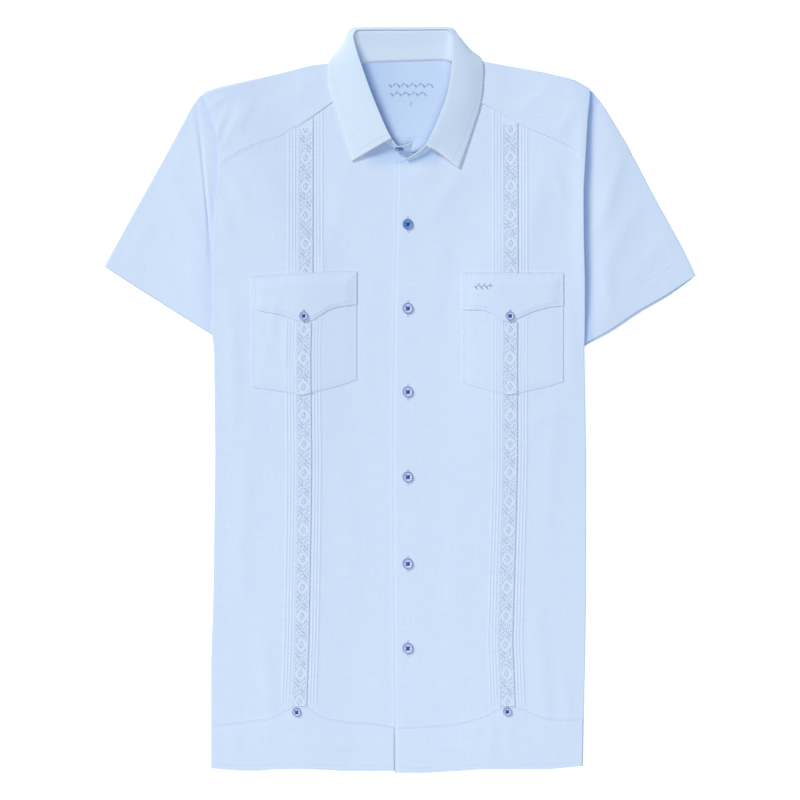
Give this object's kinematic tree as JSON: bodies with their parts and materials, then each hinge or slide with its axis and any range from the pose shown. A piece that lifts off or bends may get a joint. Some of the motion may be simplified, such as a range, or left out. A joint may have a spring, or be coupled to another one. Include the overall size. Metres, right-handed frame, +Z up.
{
  "type": "guayabera shirt",
  "caption": "Short-sleeved guayabera shirt laid flat and buttoned, with patch pockets, pintucks and embroidered bands.",
  "frame": {"origin": "on the floor under the middle of the shirt's outline", "axes": "+Y from hem to collar, +X to the wearer's left, +Z up out of the front of the shirt"},
  "size_m": [0.6511, 0.8191, 0.0173],
  "materials": {
    "cloth": "matt light blue chambray of linen and cotton, plain weave",
    "collar_cloth": "the same chambray, fused, a little paler and smoother",
    "embroidery": "satin-stitched grey-blue and white thread on the chambray",
    "thread": "pale blue sewing thread, slightly lustrous",
    "button": "pale blue pearl polyester, polished"
  },
  "bodies": {
    "root": {"back": "cloth", "yoke": "cloth", "front_right": "cloth", "hem_band_right": "cloth", "sleeve_right": "cloth", "pocket_right": "cloth", "pocket_flap_right": "cloth", "band_chest_right": "embroidery", "band_pocket_right": "embroidery", "band_body_right": "embroidery", "front_left": "cloth", "hem_band_left": "cloth", "sleeve_left": "cloth", "pocket_left": "cloth", "pocket_flap_left": "cloth", "band_chest_left": "embroidery", "band_pocket_left": "embroidery", "band_body_left": "embroidery", "collar_stand": "collar_cloth", "collar_leaf": "collar_cloth", "button_front_1": "button", "button_front_2": "button", "button_front_3": "button", "button_front_4": "button", "button_front_5": "button", "button_front_6": "button", "button_collar": "button", "button_hem_right": "button", "button_hem_left": "button", "button_pocket_right": "button", "button_pocket_left": "button"}
  },
  "joints": []
}
